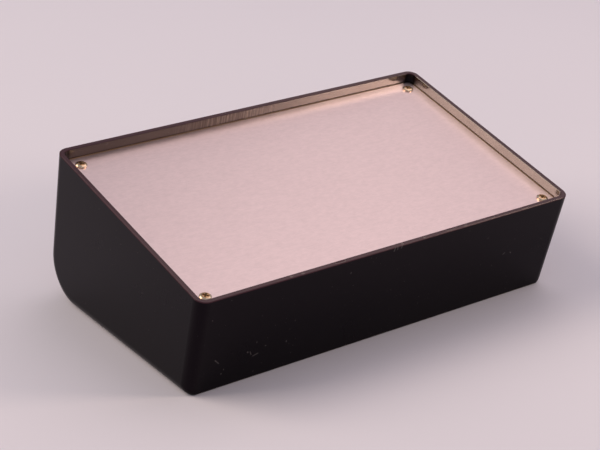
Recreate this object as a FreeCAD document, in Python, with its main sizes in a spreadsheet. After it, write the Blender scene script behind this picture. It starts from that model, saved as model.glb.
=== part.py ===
import FreeCAD, Part

import math
import os

import Sketcher
from FreeCAD import Placement, Rotation, Vector

# Sloped console enclosure: a one-piece moulded box, a recessed metal panel, four panel screws
# and the four threaded bushes that they turn into. Millimetres and degrees throughout.
#
# Everything is drawn in the deck frame and then stood up. The deck frame lies on the middle of
# the rim: X runs along the box, Y goes up the slope to the back, Z leaves the rim square to it.
# The mould opens along that Z, so walls, pillars and ribs all follow it and only the base is oblique.

document = FreeCAD.newDocument("sloped_console_enclosure")

# Driving dimensions
sheet = document.addObject("Spreadsheet::Sheet", "Sizes")
sheet_rows = 0


def size(alias, value, note):
    """Add one driving dimension to the sheet and return its value."""
    global sheet_rows
    sheet_rows += 1
    sheet.set(f"A{sheet_rows}", alias)
    sheet.set(f"B{sheet_rows}", str(value))
    sheet.set(f"C{sheet_rows}", note)
    sheet.setAlias(f"B{sheet_rows}", alias)
    return value


length = size("length", 215.0, "rim, outside, left to right")
rim_depth = size("rim_depth", 127.0, "rim, outside, front to back along the slope")
front_height = size("front_height", 51.7, "front rim above the base, standing")
slope = size("slope", 12.6, "rim against the base")
draft = size("draft", 1.0, "lean of every outer and inner wall from the mould's draw")
wall = size("wall", 2.5, "side walls")
floor_thickness = size("floor_thickness", 2.5, "base")
back_radius = size("back_radius", 20.5, "outside, where the back wall turns into the base")
end_radius = size("end_radius", 5.5, "outside, round each end wall")
front_radius = size("front_radius", 1.5, "outside, along the front of the base")
toe_radius = size("toe_radius", 1.0, "inside, along the front of the floor")
lip_edge = size("lip_edge", 0.3, "broken edges of the rim's top face")

panel_recess = size("panel_recess", 5.1, "panel's top face below the rim")
panel_thickness = size("panel_thickness", 1.2, "sheet metal")
panel_clearance = size("panel_clearance", 0.5, "panel edge to wall, each side")
panel_edge = size("panel_edge", 0.15, "broken edge of the panel's top face")
panel_hole = size("panel_hole", 3.5, "clearance hole for a screw")

screw_inset = size("screw_inset", 9.2, "screw centre in from the rim's outer faces")
screw_diameter = size("screw_diameter", 3.0, "M3 thread over its crests")
screw_length = size("screw_length", 8.0, "screw under its head")
head_diameter = size("head_diameter", 5.6, "low pan head")
head_side = size("head_side", 0.6, "upright side of the head")
head_height = size("head_height", 1.2, "whole head, with its dome")
head_flat = size("head_flat", 3.4, "flat on top of the dome, round the recess")
recess_width = size("recess_width", 3.2, "cross recess, tip to tip")
recess_wing = size("recess_wing", 0.9, "cross recess, across one slot")
recess_depth = size("recess_depth", 0.95, "cross recess below the top of the head")

bush_diameter = size("bush_diameter", 4.8, "threaded bush, outside")
bush_length = size("bush_length", 6.0, "threaded bush")
bush_clearance = size("bush_clearance", 0.05, "round the bush, and round the thread in it")
tip_clearance = size("tip_clearance", 2.0, "blind hole of a pillar beyond the screw's tip")

pillar_diameter = size("pillar_diameter", 9.0, "corner pillar")
web_thickness = size("web_thickness", 2.0, "webs from a pillar to the walls")
guide_spacing = size("guide_spacing", 96.0, "between the two card slots of a long wall")
guide_slot = size("guide_slot", 1.8, "card slot between two ribs")
rib_thickness = size("rib_thickness", 1.6, "card guide rib")
rib_reach = size("rib_reach", 3.0, "card guide rib out of the wall, at the rim")
stud_pitch_length = size("stud_pitch_length", 120.0, "board studs, along the box")
stud_pitch_depth = size("stud_pitch_depth", 50.0, "board studs, up the slope")
stud_diameter = size("stud_diameter", 6.5, "board stud")
stud_height = size("stud_height", 6.0, "front studs above the floor")
stud_hole = size("stud_hole", 2.5, "pilot hole for a self-tapping screw")
stud_hole_depth = size("stud_hole_depth", 4.5, "pilot hole")

document.recompute()


# Edges this close to a level count as lying in it
same_level = 0.01


# Helpers
def origin_plane(body, role):
    """The body's own origin plane with this role."""
    for feature in body.Origin.OriginFeatures:
        if feature.Role == role:
            return feature
    raise ValueError(role)


def sketch_on(body, name, role, level=None):
    """Sketch on an origin plane of the body, lifted along its normal by an expression."""
    sketch = body.newObject("Sketcher::SketchObject", name)
    sketch.AttachmentSupport = [(origin_plane(body, role), "")]
    sketch.MapMode = "FlatFace"
    if level:
        sketch.setExpression("AttachmentOffset.Base.z", level)
    return sketch


def bind(sketch, constraint, name, expression):
    """Add a dimension to the sketch and tie it to the sheet."""
    index = sketch.addConstraint(constraint)
    sketch.renameConstraint(index, name)
    sketch.setExpression(f"Constraints.{name}", expression)


def closed_outline(sketch, points):
    """Straight outline through the points; returns the number of its first line."""
    first = sketch.GeometryCount
    count = len(points)
    for step in range(count):
        sketch.addGeometry(Part.LineSegment(points[step], points[(step + 1) % count]), False)
    for step in range(count):
        following = first + (step + 1) % count
        sketch.addConstraint(Sketcher.Constraint("Coincident", first + step, 2, following, 1))
    return first


def rectangle(sketch, name, low, high, expressions):
    """Rectangle held by its low corner and its two sides; expressions: x, y, width, height."""
    corners = [
        Vector(low[0], low[1], 0),
        Vector(high[0], low[1], 0),
        Vector(high[0], high[1], 0),
        Vector(low[0], high[1], 0),
    ]
    first = closed_outline(sketch, corners)
    for line, kind in enumerate(("Horizontal", "Vertical", "Horizontal", "Vertical")):
        sketch.addConstraint(Sketcher.Constraint(kind, first + line))
    bind(sketch, Sketcher.Constraint("DistanceX", -1, 1, first, 1, low[0]), name + "_x", expressions[0])
    bind(sketch, Sketcher.Constraint("DistanceY", -1, 1, first, 1, low[1]), name + "_y", expressions[1])
    width = Sketcher.Constraint("DistanceX", first, 1, first, 2, high[0] - low[0])
    bind(sketch, width, name + "_width", expressions[2])
    height = Sketcher.Constraint("DistanceY", first + 1, 1, first + 1, 2, high[1] - low[1])
    bind(sketch, height, name + "_height", expressions[3])


def circle(sketch, name, centre, radius, expressions):
    """Circle held by its centre and radius; expressions: x, y, radius."""
    index = sketch.addGeometry(Part.Circle(Vector(centre[0], centre[1], 0), Vector(0, 0, 1), radius), False)
    bind(sketch, Sketcher.Constraint("DistanceX", -1, 1, index, 3, centre[0]), name + "_x", expressions[0])
    bind(sketch, Sketcher.Constraint("DistanceY", -1, 1, index, 3, centre[1]), name + "_y", expressions[1])
    bind(sketch, Sketcher.Constraint("Radius", index, radius), name + "_radius", expressions[2])


def edge_numbers(feature, test):
    """Numbers of the feature's edges that pass the test."""
    return [number for number, edge in enumerate(feature.Shape.Edges, 1) if test(edge)]


def edge_names(feature, test):
    """Names of the feature's edges that pass the test."""
    return [f"Edge{number}" for number in edge_numbers(feature, test)]


def across(edge):
    """An edge that runs from end to end of the box."""
    return abs(edge.CenterOfMass.x) < same_level


def at_level(edge, level):
    """An edge whose middle lies at this height."""
    return abs(edge.CenterOfMass.z - level) < same_level


def front_of_base(edge):
    """The edge between the front wall and the base."""
    return across(edge) and edge.CenterOfMass.y < 0 and not at_level(edge, 0)


def round_an_end(edge, half_length):
    """An edge round an end wall, apart from the one in the rim."""
    return abs(edge.CenterOfMass.x) > half_length / 2 and not at_level(edge, 0)


def four_corners(body, name, features):
    """Repeat features in all four corners: mirrored left to right, then front to back."""
    pattern = body.newObject("PartDesign::MultiTransform", name)
    pattern.Originals = features
    mirrors = []
    for role in ("YZ_Plane", "XZ_Plane"):
        mirror = body.newObject("PartDesign::Mirrored", f"{name}_{role}")
        mirror.MirrorPlane = (origin_plane(body, role), [""])
        mirrors.append(mirror)
    pattern.Transformations = mirrors
    body.Tip = pattern
    document.recompute()


# Moulded form, used twice: once for the outside and once for the core that hollows it
def moulded_form(name, inset, height, back, end, front):
    """Drafted block under the rim with an oblique base and rounded edges.

    inset, how far it lies inside the rim's outer faces, and height, its front rim above the base,
    are pairs of a value and its expression. back is an expression, and end and front are radii.
    """
    body = document.addObject("PartDesign::Body", name)
    half_length = length / 2 - inset[0]
    half_depth = rim_depth / 2 - inset[0]
    lean = math.radians(draft)

    # Seen from the end: the rim lies on the sketch's X axis and the base falls away from it.
    along_base = Vector(math.cos(math.radians(slope)), -math.sin(math.radians(slope)), 0)
    square_to_base = Vector(-along_base.y, along_base.x, 0)
    front_rim = Vector(-half_depth, 0, 0)
    back_rim = Vector(half_depth, 0, 0)

    def down_to_base(start, wall_line):
        fall = (start - front_rim).dot(square_to_base) + height[0]
        return start - wall_line * (fall / wall_line.dot(square_to_base))

    front_foot = down_to_base(front_rim, Vector(math.sin(lean), -math.cos(lean), 0))
    back_foot = down_to_base(back_rim, Vector(-math.sin(lean), -math.cos(lean), 0))
    outline = sketch_on(body, name + "_outline", "YZ_Plane")
    front_wall = closed_outline(outline, [front_rim, front_foot, back_foot, back_rim])
    base, back_wall, rim = front_wall + 1, front_wall + 2, front_wall + 3
    half_depth_expression = f"Sizes.rim_depth / 2 - {inset[1]}"
    outline.addConstraint(Sketcher.Constraint("PointOnObject", rim, 1, -1))
    outline.addConstraint(Sketcher.Constraint("PointOnObject", rim, 2, -1))
    bind(
        outline, Sketcher.Constraint("DistanceX", front_wall, 1, -1, 1, half_depth),
        "front_rim", half_depth_expression,
    )
    bind(
        outline, Sketcher.Constraint("DistanceX", -1, 1, rim, 1, half_depth),
        "back_rim", half_depth_expression,
    )
    bind(
        outline, Sketcher.Constraint("Angle", front_wall, lean - math.pi / 2),
        "front_lean", "Sizes.draft - 90",
    )
    bind(
        outline, Sketcher.Constraint("Angle", back_wall, math.pi / 2 - lean),
        "back_lean", "90 - Sizes.draft",
    )
    bind(outline, Sketcher.Constraint("Angle", base, -math.radians(slope)), "slope", "-Sizes.slope")
    bind(outline, Sketcher.Constraint("Distance", front_wall, 1, base, height[0]), "height", height[1])
    block = body.newObject("PartDesign::Pad", name + "_block")
    block.Profile = outline
    block.SideType = "Symmetric"
    block.setExpression("Length", f"Sizes.length - 2 * {inset[1]}")
    document.recompute()

    # Seen from the front: a sliver comes off each end, so that the ends lean in like the other walls.
    # It reaches further down than the base.
    deep = rim_depth + front_height
    run = deep * math.tan(lean)
    sliver = sketch_on(body, name + "_sliver", "XZ_Plane")
    top = closed_outline(
        sliver,
        [
            Vector(half_length, 0, 0),
            Vector(half_length + run, 0, 0),
            Vector(half_length + run, -deep, 0),
            Vector(half_length - run, -deep, 0),
        ],
    )
    outer_side, bottom, leaning_side = top + 1, top + 2, top + 3
    sliver.addConstraint(Sketcher.Constraint("PointOnObject", top, 1, -1))
    sliver.addConstraint(Sketcher.Constraint("Horizontal", top))
    sliver.addConstraint(Sketcher.Constraint("Vertical", outer_side))
    sliver.addConstraint(Sketcher.Constraint("Horizontal", bottom))
    bind(
        sliver, Sketcher.Constraint("DistanceX", -1, 1, top, 1, half_length),
        "end", f"Sizes.length / 2 - {inset[1]}",
    )
    bind(
        sliver, Sketcher.Constraint("DistanceX", top, 1, top, 2, run),
        "run", "(Sizes.rim_depth + Sizes.front_height) * tan(Sizes.draft)",
    )
    bind(
        sliver, Sketcher.Constraint("DistanceY", outer_side, 2, outer_side, 1, deep),
        "deep", "Sizes.rim_depth + Sizes.front_height",
    )
    bind(
        sliver, Sketcher.Constraint("Angle", leaning_side, math.pi / 2 - lean),
        "end_lean", "90 - Sizes.draft",
    )
    end_draft = body.newObject("PartDesign::Pocket", name + "_end_draft")
    end_draft.Profile = sliver
    end_draft.Type = "ThroughAll"
    end_draft.SideType = "Symmetric"
    document.recompute()
    oblique = body.newObject("PartDesign::Mirrored", name + "_both_ends")
    oblique.Originals = [end_draft]
    oblique.MirrorPlane = (origin_plane(body, "YZ_Plane"), [""])
    body.Tip = oblique
    document.recompute()

    lowest = min(edge.CenterOfMass.z for edge in oblique.Shape.Edges if across(edge))
    curved = body.newObject("PartDesign::Fillet", name + "_back_radius")
    curved.Base = (oblique, edge_names(oblique, lambda edge: across(edge) and at_level(edge, lowest)))
    curved.setExpression("Radius", back)
    document.recompute()

    # The end walls and the front of the base are rounded in one step, so that the three edges
    # which meet in each front corner blend into each other.
    rounded = document.addObject("Part::Fillet", name + "_rounded")
    rounded.Base = body
    rounded.Edges = [
        (number, end, end) for number in edge_numbers(curved, lambda edge: round_an_end(edge, half_length))
    ] + [
        (number, front, front) for number in edge_numbers(curved, front_of_base)
    ]
    document.recompute()
    return rounded


# Core: the space inside, with the pillars, webs, ribs and studs left out of it
wall_at_rim = wall / math.cos(math.radians(draft))
wall_at_rim_expression = "(Sizes.wall / cos(Sizes.draft))"
core = document.addObject("PartDesign::Body", "core")
core.BaseFeature = moulded_form(
    "core_form",
    (wall_at_rim, wall_at_rim_expression),
    (
        front_height - floor_thickness + wall_at_rim * math.sin(math.radians(slope)),
        f"Sizes.front_height - Sizes.floor_thickness + {wall_at_rim_expression} * sin(Sizes.slope)",
    ),
    "Sizes.back_radius - Sizes.wall",
    end_radius - wall,
    toe_radius,
)
document.recompute()

# Levels below the rim: where the panel seats, and the tops of the board studs, which all lie in
# one plane parallel to the panel, so that the back ones are longer
seat_level = "-(Sizes.panel_recess + Sizes.panel_thickness)"
stud_level = (
    "-((Sizes.front_height - Sizes.floor_thickness"
    " + (Sizes.rim_depth - Sizes.stud_pitch_depth) / 2 * sin(Sizes.slope)) / cos(Sizes.slope)"
    " - Sizes.stud_height)"
)
screw_x = length / 2 - screw_inset
screw_y = rim_depth / 2 - screw_inset
screw_x_expression = "Sizes.length / 2 - Sizes.screw_inset"
screw_y_expression = "Sizes.rim_depth / 2 - Sizes.screw_inset"


def core_pocket(name, sketch):
    """Take a sketch's outline out of the core, from the sketch down through the floor."""
    pocket = core.newObject("PartDesign::Pocket", name)
    pocket.Profile = sketch
    pocket.Type = "ThroughAll"
    document.recompute()
    return pocket


pillar_sketch = sketch_on(core, "pillar_outline", "XY_Plane", seat_level)
circle(
    pillar_sketch, "pillar", (screw_x, screw_y), pillar_diameter / 2,
    (screw_x_expression, screw_y_expression, "Sizes.pillar_diameter / 2"),
)
pillar = core_pocket("pillar", pillar_sketch)

web_sketch = sketch_on(core, "web_outline", "XY_Plane", seat_level)
rectangle(
    web_sketch, "end_web", (screw_x, screw_y - web_thickness / 2), (length / 2, screw_y + web_thickness / 2),
    (screw_x_expression, f"{screw_y_expression} - Sizes.web_thickness / 2", "Sizes.screw_inset",
     "Sizes.web_thickness"),
)
end_web = core_pocket("end_web", web_sketch)

long_web_sketch = sketch_on(core, "long_web_outline", "XY_Plane", seat_level)
rectangle(
    long_web_sketch, "long_web", (screw_x - web_thickness / 2, screw_y),
    (screw_x + web_thickness / 2, rim_depth / 2),
    (f"{screw_x_expression} - Sizes.web_thickness / 2", screw_y_expression, "Sizes.web_thickness",
     "Sizes.screw_inset"),
)
long_web = core_pocket("long_web", long_web_sketch)

# Two ribs side by side make a card slot. They stand on both long walls, and carry the panel too.
rib_x = guide_spacing / 2 + guide_slot / 2
rib_root = rim_depth / 2 - wall - rib_reach
outer_rib_sketch = sketch_on(core, "outer_rib_outline", "XY_Plane", seat_level)
rectangle(
    outer_rib_sketch, "outer_rib", (rib_x, rib_root), (rib_x + rib_thickness, rim_depth / 2),
    ("(Sizes.guide_spacing + Sizes.guide_slot) / 2",
     "Sizes.rim_depth / 2 - Sizes.wall - Sizes.rib_reach",
     "Sizes.rib_thickness", "Sizes.wall + Sizes.rib_reach"),
)
outer_rib = core_pocket("outer_rib", outer_rib_sketch)

inner_x = guide_spacing / 2 - guide_slot / 2 - rib_thickness
inner_rib_sketch = sketch_on(core, "inner_rib_outline", "XY_Plane", seat_level)
rectangle(
    inner_rib_sketch, "inner_rib", (inner_x, rib_root), (inner_x + rib_thickness, rim_depth / 2),
    ("(Sizes.guide_spacing - Sizes.guide_slot) / 2 - Sizes.rib_thickness",
     "Sizes.rim_depth / 2 - Sizes.wall - Sizes.rib_reach",
     "Sizes.rib_thickness", "Sizes.wall + Sizes.rib_reach"),
)
inner_rib = core_pocket("inner_rib", inner_rib_sketch)

stud_sketch = sketch_on(core, "stud_outline", "XY_Plane", stud_level)
circle(
    stud_sketch, "stud", (stud_pitch_length / 2, stud_pitch_depth / 2), stud_diameter / 2,
    ("Sizes.stud_pitch_length / 2", "Sizes.stud_pitch_depth / 2", "Sizes.stud_diameter / 2"),
)
stud = core_pocket("stud", stud_sketch)


def core_pin(name, level, x, y, radius, expressions, depth):
    """Pin of the core that leaves a blind hole in a pillar or stud."""
    outline = sketch_on(core, name + "_outline", "XY_Plane", level)
    circle(outline, name, (x, y), radius, expressions)
    pin = core.newObject("PartDesign::Pad", name)
    pin.Profile = outline
    pin.Reversed = True
    pin.setExpression("Length", depth)
    document.recompute()
    return pin


bush_pin = core_pin(
    "bush_pin", seat_level, screw_x, screw_y, bush_diameter / 2 + bush_clearance,
    (screw_x_expression, screw_y_expression, "Sizes.bush_diameter / 2 + Sizes.bush_clearance"),
    "Sizes.screw_length - Sizes.panel_thickness + Sizes.tip_clearance",
)
stud_pin = core_pin(
    "stud_pin", stud_level, stud_pitch_length / 2, stud_pitch_depth / 2, stud_hole / 2,
    ("Sizes.stud_pitch_length / 2", "Sizes.stud_pitch_depth / 2", "Sizes.stud_hole / 2"),
    "Sizes.stud_hole_depth",
)
four_corners(
    core, "four_corners",
    [pillar, end_web, long_web, outer_rib, inner_rib, stud, bush_pin, stud_pin],
)

# Console shell: outside form less the core
shell = document.addObject("PartDesign::Body", "console_shell")
shell.BaseFeature = moulded_form(
    "outer_form",
    (0.0, "0"),
    (front_height, "Sizes.front_height"),
    "Sizes.back_radius",
    end_radius,
    front_radius,
)
document.recompute()
hollow = shell.newObject("PartDesign::Boolean", "hollow")
hollow.Type = "Cut"
hollow.setObjects([core])
document.recompute()
lip = shell.newObject("PartDesign::Chamfer", "lip")
lip.Base = (hollow, edge_names(hollow, lambda edge: edge.BoundBox.ZMin > -same_level))
lip.setExpression("Size", "Sizes.lip_edge")
document.recompute()

# The box stands on its base, with the middle of its outer size over the origin
deck_rotation = Rotation(Vector(1, 0, 0), slope)
standing = lip.Shape.copy()
standing.Placement = Placement(Vector(0, 0, 0), deck_rotation)
outer_box = standing.optimalBoundingBox(False, False)
deck = Placement(
    Vector(
        -(outer_box.XMin + outer_box.XMax) / 2,
        -(outer_box.YMin + outer_box.YMax) / 2,
        -outer_box.ZMin,
    ),
    deck_rotation,
)
shell.Placement = deck

# Panel: a plate with rounded corners that lies on the pillars, webs and ribs
panel = document.addObject("PartDesign::Body", "top_panel")
wall_at_seat = wall_at_rim + (panel_recess + panel_thickness) * math.tan(math.radians(draft))
wall_at_seat_expression = (
    f"({wall_at_rim_expression} + (Sizes.panel_recess + Sizes.panel_thickness) * tan(Sizes.draft))"
)
panel_x = length / 2 - wall_at_seat - panel_clearance
panel_y = rim_depth / 2 - wall_at_seat - panel_clearance
panel_outline = sketch_on(panel, "panel_outline", "XY_Plane", seat_level)
rectangle(
    panel_outline, "plate", (-panel_x, -panel_y), (panel_x, panel_y),
    (
        f"-(Sizes.length / 2 - {wall_at_seat_expression} - Sizes.panel_clearance)",
        f"-(Sizes.rim_depth / 2 - {wall_at_seat_expression} - Sizes.panel_clearance)",
        f"Sizes.length - 2 * ({wall_at_seat_expression} + Sizes.panel_clearance)",
        f"Sizes.rim_depth - 2 * ({wall_at_seat_expression} + Sizes.panel_clearance)",
    ),
)
plate = panel.newObject("PartDesign::Pad", "plate")
plate.Profile = panel_outline
plate.setExpression("Length", "Sizes.panel_thickness")
document.recompute()
plate_corners = panel.newObject("PartDesign::Fillet", "plate_corners")
plate_corners.Base = (plate, edge_names(plate, lambda edge: edge.BoundBox.ZLength > panel_thickness / 2))
plate_corners.setExpression("Radius", "Sizes.end_radius - Sizes.wall")
document.recompute()
plate_edge = panel.newObject("PartDesign::Chamfer", "plate_edge")
plate_edge.Base = (
    plate_corners, edge_names(plate_corners, lambda edge: edge.BoundBox.ZMin > -panel_recess - same_level)
)
plate_edge.setExpression("Size", "Sizes.panel_edge")
document.recompute()
hole_outline = sketch_on(panel, "hole_outline", "XY_Plane")
circle(
    hole_outline, "hole", (screw_x, screw_y), panel_hole / 2,
    (screw_x_expression, screw_y_expression, "Sizes.panel_hole / 2"),
)
hole = panel.newObject("PartDesign::Pocket", "screw_hole")
hole.Profile = hole_outline
hole.Type = "ThroughAll"
document.recompute()
four_corners(panel, "screw_holes", [hole])
panel.Placement = deck


def turned(body, name, outline):
    """Turn an outline round the body's own Z axis."""
    feature = body.newObject("PartDesign::Revolution", name)
    feature.Profile = outline
    feature.ReferenceAxis = (outline, ["V_Axis"])
    feature.Angle = 360
    document.recompute()


# Screw: its own origin is under the head, on the panel's top face
def panel_screw(name):
    """Pan-head machine screw: a dome with a small flat on top, and a cross recess in the flat."""
    body = document.addObject("PartDesign::Body", name)
    shank = screw_diameter / 2
    head = head_diameter / 2
    flat = head_flat / 2
    outline = sketch_on(body, name + "_outline", "XZ_Plane")
    points = [
        Vector(0, -screw_length, 0),
        Vector(shank, -screw_length, 0),
        Vector(shank, 0, 0),
        Vector(head, 0, 0),
        Vector(head, head_side, 0),
    ]
    for start, end in zip(points, points[1:]):
        outline.addGeometry(Part.LineSegment(start, end), False)
    tip, shaft, under, side = range(4)
    rise = head_height - head_side
    centre = Vector(0, (flat ** 2 + head_height ** 2 - head ** 2 - head_side ** 2) / (2 * rise), 0)
    sphere = Part.Circle(centre, Vector(0, 0, 1), (points[-1] - centre).Length)
    low_angle = math.atan2(head_side - centre.y, head)
    high_angle = math.atan2(head_height - centre.y, flat)
    dome = outline.addGeometry(Part.ArcOfCircle(sphere, low_angle, high_angle), False)
    top = Vector(0, head_height, 0)
    crown = outline.addGeometry(Part.LineSegment(Vector(flat, head_height, 0), top), False)
    axis = outline.addGeometry(Part.LineSegment(top, points[0]), False)
    for line in (tip, shaft, under):
        outline.addConstraint(Sketcher.Constraint("Coincident", line, 2, line + 1, 1))
    outline.addConstraint(Sketcher.Constraint("Coincident", side, 2, dome, 1))
    outline.addConstraint(Sketcher.Constraint("Coincident", dome, 2, crown, 1))
    outline.addConstraint(Sketcher.Constraint("Coincident", crown, 2, axis, 1))
    outline.addConstraint(Sketcher.Constraint("Coincident", axis, 2, tip, 1))
    outline.addConstraint(Sketcher.Constraint("PointOnObject", dome, 3, -2))
    outline.addConstraint(Sketcher.Constraint("PointOnObject", axis, 1, -2))
    outline.addConstraint(Sketcher.Constraint("PointOnObject", axis, 2, -2))
    outline.addConstraint(Sketcher.Constraint("PointOnObject", under, 1, -1))
    for line in (tip, under, crown):
        outline.addConstraint(Sketcher.Constraint("Horizontal", line))
    for line in (shaft, side):
        outline.addConstraint(Sketcher.Constraint("Vertical", line))
    bind(
        outline, Sketcher.Constraint("DistanceY", axis, 2, -1, 1, screw_length),
        "length", "Sizes.screw_length",
    )
    bind(
        outline, Sketcher.Constraint("DistanceX", -1, 1, shaft, 2, shank),
        "shank", "Sizes.screw_diameter / 2",
    )
    bind(
        outline, Sketcher.Constraint("DistanceX", -1, 1, under, 2, head),
        "head", "Sizes.head_diameter / 2",
    )
    bind(
        outline, Sketcher.Constraint("DistanceY", side, 1, side, 2, head_side),
        "head_side", "Sizes.head_side",
    )
    bind(
        outline, Sketcher.Constraint("DistanceY", -1, 1, axis, 1, head_height),
        "head_height", "Sizes.head_height",
    )
    bind(
        outline, Sketcher.Constraint("DistanceX", -1, 1, crown, 1, flat),
        "head_flat", "Sizes.head_flat / 2",
    )
    turned(body, name + "_turned", outline)

    # The cross recess is two slots that cross each other.
    long_side = (recess_width, "Sizes.recess_width")
    short_side = (recess_wing, "Sizes.recess_wing")
    for slot, (width, width_expression), (depth, depth_expression) in (
        ("first_slot", long_side, short_side),
        ("second_slot", short_side, long_side),
    ):
        slot_outline = sketch_on(body, f"{name}_{slot}_outline", "XY_Plane", "Sizes.head_height")
        rectangle(
            slot_outline, "slot", (-width / 2, -depth / 2), (width / 2, depth / 2),
            (f"-{width_expression} / 2", f"-{depth_expression} / 2", width_expression, depth_expression),
        )
        cut = body.newObject("PartDesign::Pocket", f"{name}_{slot}")
        cut.Profile = slot_outline
        cut.setExpression("Length", "Sizes.recess_depth")
        document.recompute()
    return body


# Bush: its own origin is on its top face, level with the pillar's top
def threaded_bush(name):
    """Brass bush that is pressed into the plastic."""
    body = document.addObject("PartDesign::Body", name)
    bore = screw_diameter / 2 + bush_clearance
    outline = sketch_on(body, name + "_outline", "XZ_Plane")
    rectangle(
        outline, "ring", (bore, -bush_length), (bush_diameter / 2, 0),
        (
            "Sizes.screw_diameter / 2 + Sizes.bush_clearance",
            "-Sizes.bush_length",
            "(Sizes.bush_diameter - Sizes.screw_diameter) / 2 - Sizes.bush_clearance",
            "Sizes.bush_length",
        ),
    )
    turned(body, name + "_turned", outline)
    return body


# One screw and one bush in each corner; the last number is the turn at which the screw has stopped
fasteners = []
corners = (
    ("front_left", -1, -1, 45.0),
    ("front_right", 1, -1, 31.0),
    ("back_right", 1, 1, 32.0),
    ("back_left", -1, 1, 41.0),
)
for corner, side_x, side_y, turn in corners:
    screw = panel_screw("panel_screw_" + corner)
    seat = Vector(side_x * screw_x, side_y * screw_y, -panel_recess)
    screw.Placement = deck.multiply(Placement(seat, Rotation(Vector(0, 0, 1), turn)))
    bush = threaded_bush("threaded_bush_" + corner)
    pillar_top = seat - Vector(0, 0, panel_thickness)
    bush.Placement = deck.multiply(Placement(pillar_top, Rotation()))
    fasteners += [screw, bush]
document.recompute()

# Checks, then one STEP file for each sub-part
parts = [shell, panel] + fasteners
for item in document.Objects:
    if "Invalid" in item.State or "Error" in item.State:
        raise RuntimeError(f"{item.Name}: {item.getStatusString()}")
for part in parts:
    part.Label = part.Name
    shape = part.Shape
    if shape.isNull() or not shape.isValid() or len(shape.Solids) != 1:
        raise RuntimeError(f"{part.Name} isn't one sound solid")

os.makedirs("parts", exist_ok=True)
for part in parts:
    part.Shape.exportStep(f"parts/{part.Name}.step")
    box = part.Shape.optimalBoundingBox(False, False)
    print(
        f"{part.Name}: {part.Shape.Volume:.1f} mm3,",
        f"{box.XLength:.2f} x {box.YLength:.2f} x {box.ZLength:.2f} mm, base at {box.ZMin:.2f}",
    )
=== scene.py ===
# %% [markdown]
# # A sloped console box in black plastic
#
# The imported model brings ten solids: one moulded housing, one sheet metal panel, four screws and
# four bushes. They already have their true form and place, so this lesson is about camera, finish
# and light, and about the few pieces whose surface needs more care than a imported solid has.
# Everything is in metres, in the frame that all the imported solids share.

import math

import bmesh
import bpy
from mathutils import Matrix, Vector


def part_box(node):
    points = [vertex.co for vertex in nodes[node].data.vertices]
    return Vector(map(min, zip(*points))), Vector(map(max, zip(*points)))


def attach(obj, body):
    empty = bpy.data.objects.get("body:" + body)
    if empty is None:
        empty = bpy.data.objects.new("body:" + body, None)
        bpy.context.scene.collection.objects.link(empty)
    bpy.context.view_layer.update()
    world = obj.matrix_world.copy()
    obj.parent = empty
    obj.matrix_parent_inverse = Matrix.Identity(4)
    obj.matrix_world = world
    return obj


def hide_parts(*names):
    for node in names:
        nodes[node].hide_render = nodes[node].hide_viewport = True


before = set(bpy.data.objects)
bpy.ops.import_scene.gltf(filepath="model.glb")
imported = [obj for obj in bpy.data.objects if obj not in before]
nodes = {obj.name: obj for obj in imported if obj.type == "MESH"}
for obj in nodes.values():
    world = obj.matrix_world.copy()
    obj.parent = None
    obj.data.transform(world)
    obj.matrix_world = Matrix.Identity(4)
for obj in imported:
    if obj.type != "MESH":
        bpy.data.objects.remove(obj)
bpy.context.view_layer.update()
print("nodes:", sorted(nodes))

# %% [markdown]
# ## The deck
#
# The rim and the panel under it share one slope, the deck. Grain, scuffs and screws all follow it,
# so it pays to know it before anything else. The slope could be typed in as a number, but the
# panel is a flat plate that already has it: its largest face that looks up gives the slope, and
# the middle of its box gives the place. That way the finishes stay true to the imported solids.

# %% The deck's slope and middle
millimetre = 0.001
rim_length = 215.0 * millimetre
rim_depth = 127.0 * millimetre
panel_thickness = 1.2 * millimetre
panel_recess = 5.1 * millimetre

panel_face = max(nodes["top_panel"].data.polygons, key=lambda face: face.area * face.normal.z)
deck_up = panel_face.normal.copy()
slope = math.atan2(-deck_up.y, deck_up.z)
panel_low, panel_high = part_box("top_panel")
panel_middle = (panel_low + panel_high) / 2 + deck_up * panel_thickness / 2
rim_middle = panel_middle + deck_up * panel_recess
print("slope in degrees:", round(math.degrees(slope), 2), "rim's middle:", tuple(rim_middle))

# %% [markdown]
# ## Camera
#
# The photograph was taken with a long lens from the front left, a little above the box. A long
# lens keeps the long edges nearly parallel. A camera could be aimed by eye, or at an empty in the
# middle of the box. Here it gets three turns, which were solved so that the outline, the rim and
# the screws fall where the photograph has them: a heading round the vertical, a dip below the
# horizon and a small roll about its own line of sight.

# %% The camera
camera_place = Vector((-0.457919, -0.605379, 0.381953))
heading = math.radians(36.746)
dip = math.radians(24.496)
roll = math.radians(1.767)

camera_data = bpy.data.cameras.new("camera")
camera_data.sensor_width = 36.0
camera_data.lens = 102.98
camera_data.clip_start = 0.01
camera = bpy.data.objects.new("camera", camera_data)
bpy.context.scene.collection.objects.link(camera)
camera.matrix_world = (
    Matrix.Translation(camera_place)
    @ Matrix.Rotation(-heading, 4, "Z")
    @ Matrix.Rotation(math.pi / 2 - dip, 4, "X")
    @ Matrix.Rotation(roll, 4, "Z")
)
bpy.context.scene.camera = camera
print("camera at", tuple(camera_place), "lens", camera_data.lens, "mm")

# %% [markdown]
# ## Shader maths as expressions
#
# A node tree for a worn surface is mostly arithmetic: noise times a mask, one minus that, and so
# on. Wiring it by hand hides the sum that it stands for. The small class below wraps one socket,
# so that an ordinary Python expression adds the Math nodes. Colours stay out of it, because a
# Math node would turn them grey: they go through Mix, and places go through Vector Math. A second
# class holds one material and adds every other node, always in the same three steps: make the
# node, set it, feed its sockets.

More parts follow.
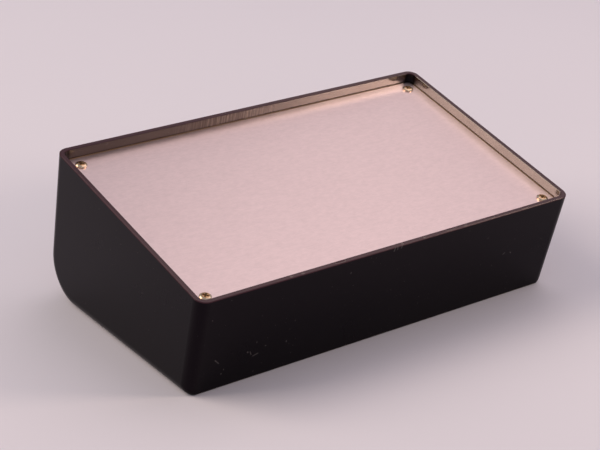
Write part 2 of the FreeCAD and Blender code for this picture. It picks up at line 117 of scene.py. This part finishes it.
# %% Field and Finish
class Field:
    """A number that varies over a surface. Its operators add Math nodes."""

    def __init__(self, finish, socket):
        self.finish = finish
        self.socket = socket

    def math(self, operation, *others):
        values = dict(enumerate((self, *others)))
        return self.finish.field("ShaderNodeMath", {"operation": operation}, values, 0)

    def __add__(self, other):
        return self.math("ADD", other)

    __radd__ = __add__

    def __mul__(self, other):
        return self.math("MULTIPLY", other)

    __rmul__ = __mul__

    def __sub__(self, other):
        return self.math("SUBTRACT", other)

    def __rsub__(self, other):
        return self.finish.field("ShaderNodeMath", {"operation": "SUBTRACT"}, {0: other, 1: self}, 0)

    def __abs__(self):
        return self.math("ABSOLUTE")

    def step(self, low, high):
        """Smooth change from 0 at low to 1 at high; low may be the larger of the two."""
        settings = {"interpolation_type": "SMOOTHSTEP"}
        values = {"Value": self, "From Min": low, "From Max": high}
        return self.finish.field("ShaderNodeMapRange", settings, values, 0)


class Finish:
    """A material in the making: its node tree and its Principled shader."""

    def __init__(self, name, **constants):
        self.material = bpy.data.materials.new(name)
        self.material.use_nodes = True
        self.tree = self.material.node_tree
        self.shader = self.tree.nodes["Principled BSDF"]
        for socket, value in constants.items():
            self.shader.inputs[socket.replace("_", " ")].default_value = value

    def node(self, kind, settings=None, values=None):
        """Add any node: its settings first, then a value or a link for each socket named."""
        made = self.tree.nodes.new(kind)
        for setting, value in (settings or {}).items():
            setattr(made, setting, value)
        for socket, value in (values or {}).items():
            self.feed(made.inputs[socket], value)
        return made

    def feed(self, target, value):
        """Give a socket a plain value, or link a Field or another socket to it."""
        source = value.socket if isinstance(value, Field) else value
        if isinstance(source, bpy.types.NodeSocket):
            self.tree.links.new(source, target)
        else:
            target.default_value = source

    def field(self, kind, settings, values, output):
        """Add a node and wrap one of its outputs."""
        return Field(self, self.node(kind, settings, values).outputs[output])

    def mix(self, share, first, second):
        """Colour that goes from first to second as share goes from 0 to 1."""
        made = self.node("ShaderNodeMix", {"data_type": "RGBA"}, {0: share, 6: first, 7: second})
        return made.outputs[2]

    def noise(self, place, scale, detail=2.0, roughness=0.5):
        """Fractal noise of about 0 to 1 round 0.5; scale is in waves per metre."""
        values = {"Vector": place, "Scale": scale, "Detail": detail, "Roughness": roughness}
        return self.field("ShaderNodeTexNoise", {"noise_dimensions": "3D"}, values, 0)

    def bump(self, height, depth, below=None):
        """Normal of a relief; depth is the height, in metres, that a field of 1 stands for."""
        values = {"Strength": 1.0, "Distance": depth, "Height": height}
        if below is not None:
            values["Normal"] = below
        return self.node("ShaderNodeBump", None, values).outputs[0]


def colour(red, green, blue):
    """Opaque colour in linear light."""
    return (red, green, blue, 1.0)


print("shader helpers ready")

# %% [markdown]
# ## Places on the surface
#
# A finish needs to know where it is. An unwrapped picture would give that, with seams and a
# resolution of its own. Object coordinates have neither: every node sits at the origin, so they
# are metres in the shared frame. For anything that follows the deck, a Mapping node turns them: it
# takes the rim's middle away and lays the slope flat. After it, X runs along the box, Y up the
# slope and Z out of the rim.

# %% Object and deck coordinates
def object_place(finish):
    """Places in the piece's own coordinates."""
    return finish.node("ShaderNodeTexCoord").outputs["Object"]


def deck_place(finish):
    """Places measured from the rim's middle, with the slope laid flat."""
    values = {"Vector": object_place(finish), "Location": rim_middle, "Rotation": (slope, 0.0, 0.0)}
    return finish.node("ShaderNodeMapping", {"vector_type": "TEXTURE"}, values).outputs[0]


def stretched(finish, place, x, y, z):
    """The same places with each axis scaled, to draw noise out into grain."""
    made = finish.node("ShaderNodeVectorMath", {"operation": "MULTIPLY"}, {0: place, 1: (x, y, z)})
    return made.outputs[0]


def parts_of(finish, place):
    """X, Y and Z of a place, each as a Field."""
    split = finish.node("ShaderNodeSeparateXYZ", None, {0: place})
    return [Field(finish, output) for output in split.outputs]


print("coordinate helpers ready")

# %% [markdown]
# ## Marks on the housing
#
# A moulded box that has been handled carries small marks in known places: chips and specks along
# the front rim, three ticks under it, a few hairlines low on the front, and on the inner face of
# the back wall some upright rubs and dark nicks. Each is a short line from which a distance is
# measured: near the line the mark shows, a little further off it has faded. A dot is a line that is
# almost as short as it is wide. A painted picture could do the same, but a mark made of maths
# stays sharp from any distance and needs no unwrapping.

# %% Distance from a short line
def line_distance(finish, place, start, end):
    """Distance of a place from the line between two points, in millimetres."""
    def vector_math(operation, values):
        return finish.node("ShaderNodeVectorMath", {"operation": operation}, values).outputs

    run = Vector(end) - Vector(start)
    in_millimetres = vector_math("SCALE", {0: place, "Scale": 1 / millimetre})[0]
    offset = vector_math("SUBTRACT", {0: in_millimetres, 1: start})[0]
    share = Field(finish, vector_math("DOT_PRODUCT", {0: offset, 1: run / run.length_squared})[1])
    on_line = share.math("MAXIMUM", 0.0).math("MINIMUM", 1.0)
    nearest = vector_math("SCALE", {0: run, "Scale": on_line})[0]
    return Field(finish, vector_math("DISTANCE", {0: offset, 1: nearest})[1])


print("distance helper ready")

# %% Where the marks are, in millimetres of the deck
front_face = -63.5
front_lean = math.tan(math.radians(1.0))
back_inner_face = 61.3
hairlines = [
    # X and Z of both ends on the front wall, then half the width
    (-2.2, 0.0, -2.5, -2.0, 0.5), (-0.7, 0.0, -0.6, -1.5, 0.5), (1.8, 0.0, 1.6, -1.3, 0.45),
    (-94.2, -35.3, -92.0, -37.7, 0.4), (-76.9, -36.3, -76.7, -36.7, 0.5),
    (-75.5, -36.7, -74.7, -38.4, 0.35), (-73.4, -39.8, -70.9, -39.1, 0.45),
    (-72.7, -31.7, -72.6, -32.4, 0.35), (-67.5, -35.9, -67.1, -35.9, 0.4),
    (-55.7, -36.9, -55.7, -37.6, 0.4), (-88.6, -42.2, -88.6, -42.6, 0.35),
    (-89.6, -44.3, -89.6, -44.8, 0.35), (-25.9, -7.3, -25.9, -7.7, 0.45),
    (71.0, -25.3, 72.0, -24.6, 0.35), (75.6, -25.2, 76.2, -25.9, 0.35),
]
chips = [
    # X of both ends on the rim's top, then Y
    (-34.6, -30.5, -62.0), (29.8, 34.4, -61.7), (53.5, 58.2, -61.8), (77.2, 80.0, -61.9),
]
rim_specks = [
    # X and Y on the rim's top
    (-59.6, -62.4), (-53.4, -62.6), (2.7, -62.3), (15.7, -62.6), (40.6, -62.5),
]
wall_rubs = [
    # X on the back wall's inner face, then Z of both ends and half the width
    (-18.6, -0.8, -4.9, 0.4), (-12.6, -1.0, -4.9, 0.5), (-0.4, -0.8, -4.9, 0.5),
    (3.8, -0.8, -4.0, 0.35), (-1.5, -5.0, -5.2, 0.9),
]
wall_nicks = [
    # X, Y and Z, then half the width
    (-3.9, back_inner_face, -5.1, 0.8), (50.3, back_inner_face, -5.1, 0.7),
    (33.1, 62.3, 0.0, 0.9), (84.0, 62.6, 0.0, 0.6),
]


def hairline_marks(finish, place):
    """Sum of the hairlines and dots on the front wall."""
    total = 0.0
    for x_start, z_start, x_end, z_end, width in hairlines:
        start = (x_start, front_face - front_lean * z_start, z_start)
        end = (x_end, front_face - front_lean * z_end, z_end)
        total = total + line_distance(finish, place, start, end).step(width, 0.3 * width)
    return total


def rim_marks(finish, place):
    """Pale edges and specks along the front rim, and the dark hollows inside the chips."""
    pale = 0.0
    hollow = 0.0
    for x_start, x_end, y in chips:
        apart = line_distance(finish, place, (x_start, y, 0.0), (x_end, y, 0.0))
        pale = pale + apart.step(1.1, 0.85) * apart.step(0.45, 0.75)
        hollow = hollow + apart.step(0.75, 0.45)
    for x, y in rim_specks:
        apart = line_distance(finish, place, (x - 0.3, y, 0.0), (x + 0.3, y, 0.0))
        pale = pale + apart.step(0.8, 0.3)
    return pale, hollow


def back_wall_marks(finish, place):
    """Pale upright rubs on the back wall's inner face, and dark nicks at its foot and edge."""
    pale = 0.0
    dark = 0.0
    for x, z_start, z_end, width in wall_rubs:
        apart = line_distance(finish, place, (x, back_inner_face, z_start), (x, back_inner_face, z_end))
        pale = pale + apart.step(width, 0.4 * width)
    for x, y, z, width in wall_nicks:
        apart = line_distance(finish, place, (x - 0.2, y, z), (x + 0.2, y, z))
        dark = dark + apart.step(width, 0.5 * width)
    return pale, dark


marked = [hairlines, chips, rim_specks, wall_rubs, wall_nicks]
print("hairlines, chips, specks, rubs and nicks:", [len(places) for places in marked])

# %% [markdown]
# ## Black plastic
#
# The housing is moulded ABS: nearly black and satin outside, with a painted purple reflection as a
# tint on its sheen. The inner faces round the panel came off a polished core, so they mirror the
# light as warm strips, and their colour adds a painted brown reflection. Two materials would need a
# cut between their faces. One Principled shader can hold both: the body has little reflection of
# its own, and a coat adds it where a mask made from deck coordinates says so. The rim's top has a
# painted brown reflection in its colour and a fifth of that coat. Its small bevels are scuffed dull,
# or each would shine like a wire, and the far corners have almost no coat.

# %% Where the polished faces are
lip_width = 2.1 * millimetre
inner_half_length = rim_length / 2 - lip_width
inner_half_depth = rim_depth / 2 - lip_width
edge_blur = 0.3 * millimetre
wall_seen = 8.0 * millimetre
corner_dull = 5.5 * millimetre
rim_coat = 0.20


def polished_faces(x, y, z):
    """Shares of the polished inner faces, the rim's top and its bevels, then the coat's weight."""
    inside = (abs(x).step(inner_half_length + edge_blur, inner_half_length)
              * abs(y).step(inner_half_depth + edge_blur, inner_half_depth)
              * z.step(-0.05 * millimetre, -0.3 * millimetre)
              * z.step(-wall_seen - edge_blur, -wall_seen))
    far_corner = (abs(x).step(inner_half_length - corner_dull, inner_half_length - 0.6 * corner_dull)
                  * y.step(inner_half_depth - corner_dull, inner_half_depth - 0.6 * corner_dull))
    rim_top = z.step(-0.45 * millimetre, -0.35 * millimetre)
    bevel = rim_top * z.step(-0.01 * millimetre, -0.05 * millimetre)
    polished = inside * (1 - 0.92 * far_corner)
    coat = polished + (1 - inside) * rim_coat * (rim_top - 0.95 * bevel)
    return polished, rim_top, bevel, coat


print("polished inside", round(2 * inner_half_length, 4), "m by", round(2 * inner_half_depth, 4), "m")

# %% [markdown]
# ## Wear on the back wall
#
# Left of the middle the inner face of the back wall has been rubbed: it shows fine upright
# streaks, and towards the left end it has lost about half of its shine. Noise that is stretched
# along one axis draws such streaks: it changes quickly along the box and hardly at all across the
# wall. The same noise then tells where the coat has gone.

# %% Streaks and lost shine
def back_wall_wear(finish, deck, x, y, polished):
    """Pale upright streaks, and the share of the coat that wear has taken."""
    back_wall = polished * y.step(60.0 * millimetre, 60.5 * millimetre)
    rubbed_length = (x.step(-52 * millimetre, -20 * millimetre)
                     * x.step(22 * millimetre, -2 * millimetre))
    rubbed = finish.noise(stretched(finish, deck, 950, 0, 40), 1.0, 2.0, 0.7)
    streaks = back_wall * rubbed_length * rubbed.step(0.44, 0.62)
    dulled = back_wall * (0.52 * x.step(95 * millimetre, -50 * millimetre)
                          + 0.25 * rubbed_length * rubbed.step(0.56, 0.38))
    return streaks, dulled


print("wear helper ready")

# %% [markdown]
# ## The housing in layers
#
# The colour is built as a painter would: the body first, then the painted brown reflection of the
# rim and of the inner faces, painted light in the gap round the panel, specks, rubs, scratches and
# knocks. Each layer is a Mix whose factor is its mask, so a layer can be changed without touching
# the others.

# %% The housing's finish
def black_plastic():
    # The purple Specular Tint is a painted reflection: it tints the body's sheen purple.
    finish = Finish("black_plastic", IOR=1.5, Specular_IOR_Level=0.085, Coat_Roughness=0.2,
                    Coat_IOR=2.2, Specular_Tint=colour(1.0, 0.70, 1.0))
    place = object_place(finish)
    deck = deck_place(finish)
    x, y, z = parts_of(finish, deck)
    cloud = finish.noise(place, 35, 3.0)
    grain = finish.noise(place, 2600, 2.0)
    speck = finish.noise(place, 900, 1.0).step(0.76, 0.79)
    crumbs = finish.noise(place, 1500, 2.0, 0.6).step(0.30, 0.60)
    pale, hollow = rim_marks(finish, deck)
    knocks = pale * (0.4 + 0.6 * crumbs)
    scratches = hairline_marks(finish, deck) * (0.5 + 0.5 * crumbs)
    polished, rim_top, bevel, coat = polished_faces(x, y, z)
    streaks, dulled = back_wall_wear(finish, deck, x, y, polished)
    rubs, nicks = back_wall_marks(finish, deck)
    bare = nicks.math("MINIMUM", 1.0)
    gap = (polished * z.step(-5.0 * millimetre, -5.2 * millimetre)
           * z.step(-6.8 * millimetre, -6.6 * millimetre))

    body = finish.mix(cloud, colour(0.0022, 0.0018, 0.0021), colour(0.0038, 0.0031, 0.0035))
    # Painted reflection: the rim's top is coloured brown in place of the warm lamp that it reflects.
    rim_painted_reflection = finish.mix(rim_top, body, colour(0.050, 0.020, 0.027))
    # Painted reflection: the polished inner faces get a brown colour on top of their coat.
    wall_painted_reflection = finish.mix(polished, rim_painted_reflection, colour(0.042, 0.018, 0.010))
    # Painted light: the gap round the panel, where shade falls, is coloured pale brown.
    gap_painted_light = finish.mix(gap, wall_painted_reflection, colour(0.50, 0.33, 0.22))
    dusty = finish.mix(speck * 0.4, gap_painted_light, colour(0.14, 0.12, 0.12))
    rubbed_base = finish.mix(streaks * 0.35 + rubs * 0.6, dusty, colour(0.28, 0.20, 0.15))
    scratched = finish.mix(scratches * 0.8, rubbed_base, colour(0.085, 0.078, 0.078))
    knocked = finish.mix(knocks * 0.8, scratched, colour(0.14, 0.11, 0.105))
    finish.feed(finish.shader.inputs["Base Color"], knocked)
    finish.feed(finish.shader.inputs["Roughness"],
                0.24 + 0.10 * cloud + 0.35 * bevel + 0.25 * speck + 0.2 * (knocks + scratches))
    finish.feed(finish.shader.inputs["Coat Weight"],
                coat * (1 - 0.7 * hollow) * (1 - bare) * (1 - dulled) * (0.85 + 0.3 * cloud))
    relief = finish.bump(grain, 0.006 * millimetre)
    dented = finish.bump(0 - hollow, 0.1 * millimetre, relief)
    finish.feed(finish.shader.inputs["Normal"], dented)
    return finish.material


housing_finish = black_plastic()
print("made", housing_finish.name)

# %% [markdown]
# ## Satin aluminium
#
# The panel is a plain sheet of aluminium, brushed along its length and a little cloudy with age. An
# anisotropic shader could stretch its reflections, but it has to be told at every point which way
# the brushing runs. A fine noise, long in X and very fine across, does nearly the same: it moves
# the colour, the roughness and a very shallow bump. A coarser noise mottles the colour, and a
# broad one the roughness. The sheet is rough enough for the lamps to blur into the slow fall of
# light that it shows.

# %% The panel's finish
def satin_aluminium():
    finish = Finish("satin_aluminium", Metallic=1.0)
    deck = deck_place(finish)
    fine = finish.noise(stretched(finish, deck, 260, 5200, 900), 1.0, 2.0)
    broad = finish.noise(deck, 22, 2.0)
    mottle = finish.noise(stretched(finish, deck, 330, 520, 520), 1.0, 3.0, 0.6)
    base = finish.mix(fine * 0.5 + mottle * 0.5, colour(0.70, 0.58, 0.59), colour(1.0, 0.83, 0.845))
    finish.feed(finish.shader.inputs["Base Color"], base)
    finish.feed(finish.shader.inputs["Roughness"], 0.33 + 0.14 * fine + 0.04 * broad)
    finish.feed(finish.shader.inputs["Normal"], finish.bump(fine, 0.004 * millimetre))
    return finish.material


panel_finish = satin_aluminium()
print("made", panel_finish.name)

# %% [markdown]
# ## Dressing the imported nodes
#
# The housing and the panel could be built again with finer meshes. They keep their packed ones,
# which are exact and whose edges are already broken, so they only need their finish in every
# material slot.

# %% Finish on the housing and the panel
def dress(piece, material):
    """Put a finish into every material slot of a piece."""
    for slot in piece.material_slots:
        slot.material = material


dress(nodes["console_shell"], housing_finish)
dress(nodes["top_panel"], panel_finish)
print("dressed the housing and the panel")

# %% [markdown]
# ## Turned pieces
#
# A screw and a threaded bush are made on a lathe, and so they are here. A list of rings, each a
# radius at a height, is swept round Z. A thread and a knurl aren't round: they are cuts into a
# ring, deeper or shallower with the turn and the height, so each ring may carry a cut. A Screw
# modifier would also sweep a profile, but it can't run a thread out smoothly at its ends.

# %% A lathe whose rings can be cut
def lathe(name, rings, segments, endless=False):
    """Sweep (radius, height, cut) round Z; cut(turn, height) comes off the radius, in millimetres."""
    model = bmesh.new()
    loops = []
    for radius, height, cut in rings:
        loop = []
        for step in range(segments if radius else 1):
            turn = step / segments
            reach = (radius - (cut(turn, height) if cut else 0.0)) * millimetre
            angle = math.tau * turn
            loop.append(model.verts.new(
                (reach * math.cos(angle), reach * math.sin(angle), height * millimetre)))
        loops.append(loop)
    following = loops[1:] + loops[:1] if endless else loops[1:]
    for lower, upper in zip(loops, following):
        for step in range(segments):
            after = (step + 1) % segments
            quad = [lower[step % len(lower)], lower[after % len(lower)],
                    upper[after % len(upper)], upper[step % len(upper)]]
            model.faces.new(list(dict.fromkeys(quad)))
    bmesh.ops.recalc_face_normals(model, faces=model.faces)
    mesh = bpy.data.meshes.new(name)
    model.to_mesh(mesh)
    model.free()
    return mesh


def smooth_between_edges(mesh):
    """Smooth shading that stops at sharp edges."""
    mesh.shade_smooth()
    mesh.set_sharp_from_angle(angle=math.radians(32))


print("lathe ready")

# %% [markdown]
# ## Thread
#
# The thread is M3 coarse: a ridge that climbs 0.5 mm in each turn, 0.3 mm deep, with flats on
# its crest and in its root. Screw and bush use the same rule, a hair apart, so they mesh as the
# real ones do. The ridge fades where the thread runs out under the head.

# %% The cut of an M3 thread
thread_pitch = 0.5
thread_depth = 0.3
thread_steps = 8


def thread_cut(turn, height):
    """How far the thread lies below its crest at this turn and height."""
    phase = (height / thread_pitch - turn) % 1.0
    to_root = 1.0 - abs(2.0 * phase - 1.0)
    return thread_depth * min(max(1.3 * to_root - 0.15, 0.0), 1.0)


def run_out(turn, height):
    """Thread that fades over the last turn under the head."""
    fade = min(max((-0.45 - height) / thread_pitch, 0.0), 1.0)
    return thread_depth * (1.0 - fade) + thread_cut(turn, height) * fade


def heights(low, high):
    """Heights from low to high, a fraction of the pitch apart."""
    count = round((high - low) / thread_pitch * thread_steps)
    return [low + (high - low) * step / count for step in range(count + 1)]


print("thread:", thread_pitch, "mm pitch")

# %% [markdown]
# ## Panel screws
#
# Four pan-head screws hold the panel. Seen from the camera a head is a bright ring with a dark
# middle: the ring is the polished shoulder of the dome, the middle is the cross recess with painted
# shade on it. The dome is an arc between the side of the head and a small flat. The recess is cut
# with two tapered bars and a Boolean, which gives it the crisp edge that a displaced surface
# wouldn't have.

# %% The screw's outline
head_radius = 2.8
head_side = 0.6
head_height = 1.2
head_flat = 1.7
screw_length = 8.0
shank_radius = 1.5


def dome_rings(count):
    """Rings of the arc from the head's side up to its flat; the arc's centre is on the axis."""
    rise = head_height - head_side
    centre = (head_height ** 2 - head_side ** 2 + head_flat ** 2 - head_radius ** 2) / (2.0 * rise)
    radius = math.hypot(head_radius, head_side - centre)
    low = math.asin((head_side - centre) / radius)
    high = math.asin((head_height - centre) / radius)
    angles = [low + (high - low) * step / count for step in range(count + 1)]
    return [(radius * math.cos(angle), centre + radius * math.sin(angle), None) for angle in angles]


def screw_rings():
    tip = -screw_length
    rings = [(0.0, tip, None), (shank_radius - thread_depth - 0.05, tip, None)]
    rings += [(shank_radius, height, run_out) for height in heights(tip + 0.3, -0.35)]
    rings += [(shank_radius - 0.1, 0.0, None)]
    rings += [(head_radius - 0.12, 0.0, None), (head_radius, 0.1, None)]
    rings += dome_rings(12)
    rings += [(0.5 * head_flat, head_height, None), (0.0, head_height, None)]
    return rings


print("screw's outline:", len(screw_rings()), "rings")

# %% The cross recess
recess_length = 3.2
recess_width = 0.9
recess_depth = 0.95
recess_above = 0.3


def recess_bar(turn):
    """Bar that narrows downwards; two of them cut a cross recess."""
    model = bmesh.new()
    bmesh.ops.create_cube(model, size=1.0)
    for vertex in model.verts:
        low = vertex.co.z < 0
        vertex.co.x *= recess_length * (0.42 if low else 1.09)
        vertex.co.y *= recess_width * (0.8 if low else 1.03)
        vertex.co.z = head_height - recess_depth if low else head_height + recess_above
        vertex.co = Matrix.Rotation(turn, 3, "Z") @ (vertex.co * millimetre)
    mesh = bpy.data.meshes.new("recess_bar")
    model.to_mesh(mesh)
    model.free()
    bar = bpy.data.objects.new("recess_bar", mesh)
    bpy.context.scene.collection.objects.link(bar)
    return bar


def carved(mesh, bars):
    """The mesh with every bar cut out of it."""
    blank = bpy.data.objects.new("blank", mesh)
    bpy.context.scene.collection.objects.link(blank)
    for bar in bars:
        cut = blank.modifiers.new("recess", "BOOLEAN")
        cut.operation = "DIFFERENCE"
        cut.solver = "EXACT"
        cut.object = bar
    bpy.context.view_layer.update()
    graph = bpy.context.evaluated_depsgraph_get()
    result = bpy.data.meshes.new_from_object(blank.evaluated_get(graph))
    for used in [blank, *bars]:
        bpy.data.objects.remove(used)
    return result


screw_blank = lathe("panel_screw", screw_rings(), 44)
screw_mesh = carved(screw_blank, [recess_bar(0.0), recess_bar(math.pi / 2)])
smooth_between_edges(screw_mesh)
print("screw:", len(screw_mesh.polygons), "faces")

# %% [markdown]
# ## Threaded bushes
#
# Under each screw a brass bush is pressed into the pillar. Its outside has two bands of knurling
# with a groove between them, one leaning left and one right, so that it can neither turn nor
# pull out. The panel hides it, but an opened box shows it. The knurls could be a bump in the
# material, but they stand on the outline, so they are cut into the rings like the thread.

# %% The bush's outline
bush_radius = 2.4
bush_length = 6.0
thread_clearance = 0.05
knurl_depth = 0.14
knurl_teeth = 22
knurl_steps = 8


def knurl_cut(lean):
    """Cut of a knurl whose teeth lean by the given number of teeth per millimetre."""
    def cut(turn, height):
        phase = (turn * knurl_teeth + lean * height) % 1.0
        return knurl_depth * abs(2.0 * phase - 1.0)
    return cut


def bore_cut(turn, height):
    """The screw's own thread, measured from the bush's top instead of from the panel's."""
    return thread_cut(turn, height - panel_thickness / millimetre)


def bush_rings():
    """Up the threaded bore, over the top, down the knurled outside and back under."""
    bore = shank_radius + thread_clearance
    groove = bush_radius - 0.35
    collar = bush_radius - knurl_depth
    rings = [(bore + 0.15, -bush_length, None)]
    rings += [(bore, height, bore_cut) for height in heights(0.2 - bush_length, -0.2)]
    rings += [(bore + 0.15, 0.0, None), (collar - 0.1, 0.0, None)]
    rings += [(collar, -0.1, None), (collar, -0.6, None)]
    for low, high, lean in ((-2.6, -0.7, 1.4), (-5.4, -3.4, -1.4)):
        band = [high + (low - high) * step / knurl_steps for step in range(knurl_steps + 1)]
        rings += [(bush_radius, height, knurl_cut(lean)) for height in band]
        rings += [(groove, low - 0.1, None), (groove, low - 0.4, None)]
    rings += [(collar - 0.3, -bush_length + 0.1, None), (collar - 0.4, -bush_length, None)]
    return rings


bush_mesh = lathe("threaded_bush", bush_rings(), 88, endless=True)
smooth_between_edges(bush_mesh)
print("bush:", len(bush_mesh.polygons), "faces")

# %% [markdown]
# ## Brass
#
# The screws are pale, bright brass with the fine rings that turning leaves. The middle of the head
# has painted shade, darker still in the recess, which leaves the shoulder bright. Each piece has its
# own origin on its axis, so the distance from that axis is one length, and everything round follows
# from it. A second material for the middle would need its own faces.

# %% The brass of screws and bushes
def brass(name, roughness, recess_radius):
    finish = Finish(name, Metallic=1.0)
    place = object_place(finish)
    height = parts_of(finish, place)[2]
    across = stretched(finish, place, 1.0, 1.0, 0.0)
    radius = finish.field("ShaderNodeVectorMath", {"operation": "LENGTH"}, {0: across}, 1)
    along = finish.node("ShaderNodeCombineXYZ", None, {0: radius, 2: height}).outputs[0]
    turning = finish.noise(along, 9000, 2.0)
    stain = finish.noise(place, 700, 2.0)
    # Painted shade: the middle of the head and, darker still, the recess get darker colours than the
    # shoulder.
    recess_painted_shade = (radius.step(recess_radius, 0.8 * recess_radius)
            * height.step((head_height - 0.02) * millimetre, (head_height - 0.25) * millimetre)
            * height.step(0.1 * millimetre, 0.2 * millimetre))
    middle = (radius.step(2.0 * millimetre, 1.7 * millimetre)
              * height.step((head_height - 0.3) * millimetre, (head_height - 0.2) * millimetre))
    bright = finish.mix(stain, colour(1.0, 0.80, 0.60), colour(0.94, 0.70, 0.46))
    brass_with_painted_shade = finish.mix(middle * (0.65 + 0.4 * stain), bright, colour(0.30, 0.15, 0.05))
    finish.feed(finish.shader.inputs["Base Color"],
                finish.mix(recess_painted_shade * 0.9, brass_with_painted_shade, colour(0.24, 0.13, 0.045)))
    finish.feed(finish.shader.inputs["Roughness"], roughness + 0.08 * stain + 0.3 * recess_painted_shade)
    finish.feed(finish.shader.inputs["Normal"], finish.bump(turning, 0.004 * millimetre))
    return finish.material


screw_finish = brass("bright_screw_brass", 0.17, 1.8 * millimetre)
bush_finish = brass("turned_bush_brass", 0.28, 0.1 * millimetre)
print("made", screw_finish.name, bush_finish.name)

# %% [markdown]
# ## Setting the fasteners
#
# Four screws could be one object and three links to it. Here each is a copy of its own, because
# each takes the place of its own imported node. A matrix that holds the deck's slope, a corner's
# place and the screw's own turn sets it. The screws stopped at different turns, as they do when
# each is driven until it is tight.

# %% Four screws and four bushes
deck_matrix = Matrix.Translation(rim_middle) @ Matrix.Rotation(slope, 4, "X")
screw_inset = 9.2 * millimetre
reach_x = rim_length / 2 - screw_inset
reach_y = rim_depth / 2 - screw_inset
pillar_top = panel_recess + panel_thickness
screw_turns = {"front_left": 45.0, "front_right": 31.0, "back_right": 32.0, "back_left": 41.0}
sides = {"front_left": (-1, -1), "front_right": (1, -1), "back_right": (1, 1), "back_left": (-1, 1)}


def set_piece(name, mesh, material, corner, depth, turn):
    """Put a copy of a turned mesh into a corner of the deck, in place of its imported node."""
    side_x, side_y = sides[corner]
    spot = Vector((side_x * reach_x, side_y * reach_y, -depth))
    piece = bpy.data.objects.new(name + "_detailed", mesh.copy())
    piece.data.materials.clear()
    piece.data.materials.append(material)
    piece.matrix_world = deck_matrix @ Matrix.Translation(spot) @ Matrix.Rotation(turn, 4, "Z")
    bpy.context.scene.collection.objects.link(piece)
    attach(piece, "root")
    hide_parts(name)


for corner in sides:
    turn = math.radians(screw_turns[corner])
    set_piece("panel_screw_" + corner, screw_mesh, screw_finish, corner, panel_recess, turn)
    set_piece("threaded_bush_" + corner, bush_mesh, bush_finish, corner, pillar_top, turn)
print("set", 2 * len(sides), "turned pieces")

# %% [markdown]
# ## Floor
#
# A plain pale floor with a soft shadow shows a dark object best. A curved backdrop would do for a
# camera near the ground; this camera looks down, so one large plane fills the picture. It is a
# cool pale grey with a hardly visible cloud in it, and the black plastic mirrors it softly.

# %% The floor
def pale_floor():
    finish = Finish("pale_floor", Roughness=0.9, Specular_IOR_Level=0.1)
    cloud = finish.noise(object_place(finish), 3.0, 1.0)
    finish.feed(finish.shader.inputs["Base Color"],
                finish.mix(cloud, colour(0.755, 0.75, 0.85), colour(0.79, 0.785, 0.885)))
    return finish.material


floor_half = 4.0
floor_mesh = bpy.data.meshes.new("floor")
floor_mesh.from_pydata(
    [(-floor_half, -floor_half, 0), (floor_half, -floor_half, 0),
     (floor_half, floor_half, 0), (-floor_half, floor_half, 0)],
    [], [(0, 1, 2, 3)],
)
floor_mesh.materials.append(pale_floor())
floor = bpy.data.objects.new("floor", floor_mesh)
bpy.context.scene.collection.objects.link(floor)
print("floor", 2 * floor_half, "m square")

# %% [markdown]
# ## Light
#
# Plain soft studio light: an even, dim, slightly blue world and four area lamps. A picture of a
# studio wrapped round the scene could light it too, but lamps are easier to aim. A polished face
# shows what stands where the line of sight bounces off to, so each lamp was put in the bounced
# direction of the face that it is for. The high one on the right brightens the front of the panel.
# The one on the left fills the inner face of the right wall, and the small one at the front right
# that of the back wall. The low one behind the box catches the screw heads. The view transform is
# Standard, so a colour renders about as it is written.

# %% Lamps and world
def softbox(name, toward, distance, width, power, tint):
    """Square area lamp that faces the panel from the given direction."""
    data = bpy.data.lights.new(name, "AREA")
    data.shape = "SQUARE"
    data.size = width
    data.energy = power
    data.color = tint
    lamp = bpy.data.objects.new(name, data)
    direction = Vector(toward).normalized()
    lamp.location = panel_middle + direction * distance
    lamp.rotation_euler = direction.to_track_quat("Z", "Y").to_euler()
    bpy.context.scene.collection.objects.link(lamp)


softbox("lamp_back_right", (0.461, 0.124, 0.879), 1.4, 1.3, 4.7, (1.0, 0.79, 0.72))
softbox("lamp_back_left", (-0.663, 0.383, 0.643), 1.8, 1.2, 19.5, (1.0, 0.81, 0.64))
softbox("lamp_front_right", (0.704, -0.623, 0.342), 1.3, 0.30, 6.4, (1.0, 0.76, 0.58))
softbox("lamp_low_back", (0.60, 0.78, 0.17), 1.6, 0.7, 1.4, (1.0, 0.84, 0.74))

world = bpy.data.worlds.new("studio")
world.use_nodes = True
background = world.node_tree.nodes["Background"]
background.inputs["Color"].default_value = colour(0.84, 0.86, 1.0)
background.inputs["Strength"].default_value = 0.32
bpy.context.scene.world = world
bpy.context.scene.view_settings.view_transform = "Standard"
